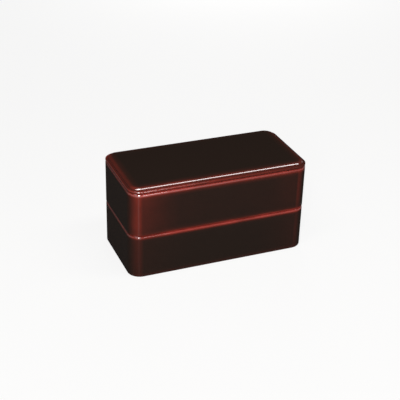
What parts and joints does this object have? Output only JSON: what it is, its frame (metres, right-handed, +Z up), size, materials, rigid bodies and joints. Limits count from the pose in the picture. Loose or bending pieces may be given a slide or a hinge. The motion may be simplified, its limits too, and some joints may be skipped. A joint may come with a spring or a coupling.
{
  "type": "two-tier bento box",
  "caption": "Long stacked lunch box with round corners, a stepped lacquered lid, lift-out sealed inner lids and sliding dividers.",
  "frame": {"origin": "middle of the face that the box stands on", "axes": "+X along the long side, +Y towards the back, +Z up through the lid"},
  "size_m": [0.18, 0.087, 0.0922],
  "materials": {
    "lacquer": "moulded resin under a glossy translucent dark red-brown lacquer, redder where the coat is thin on edges",
    "frosted_plastic": "milky moulded polypropylene with a fine matt skin",
    "silicone": "soft moulded silicone",
    "divider_plastic": "black moulded plastic, satin"
  },
  "bodies": {
    "lower_tier": {"lower_tier": "lacquer"},
    "lower_divider": {"lower_divider": "divider_plastic"},
    "lower_inner_lid": {"lower_inner_lid": "frosted_plastic", "lower_lid_seal": "silicone"},
    "upper_tier": {"upper_tier": "lacquer"},
    "upper_divider": {"upper_divider": "divider_plastic"},
    "upper_inner_lid": {"upper_inner_lid": "frosted_plastic", "upper_lid_seal": "silicone"},
    "outer_lid": {"outer_lid": "lacquer"}
  },
  "joints": [
    {"name": "lower_divider_slide", "type": "slide", "parent": "lower_tier", "child": "lower_divider", "axis": [1, 0, 0], "range_m": [-0.094, 0.05]},
    {"name": "lower_inner_lid_lift", "type": "slide", "parent": "lower_tier", "child": "lower_inner_lid", "axis": [0, 0, 1], "range_m": [0, 0.06]},
    {"name": "upper_tier_lift", "type": "slide", "parent": "lower_inner_lid", "child": "upper_tier", "axis": [0, 0, 1], "range_m": [0, 0.06]},
    {"name": "upper_divider_slide", "type": "slide", "parent": "upper_tier", "child": "upper_divider", "axis": [1, 0, 0], "range_m": [-0.094, 0.05]},
    {"name": "upper_inner_lid_lift", "type": "slide", "parent": "upper_tier", "child": "upper_inner_lid", "axis": [0, 0, 1], "range_m": [0, 0.06]},
    {"name": "outer_lid_lift", "type": "slide", "parent": "upper_inner_lid", "child": "outer_lid", "axis": [0, 0, 1], "range_m": [0, 0.06]}
  ]
}
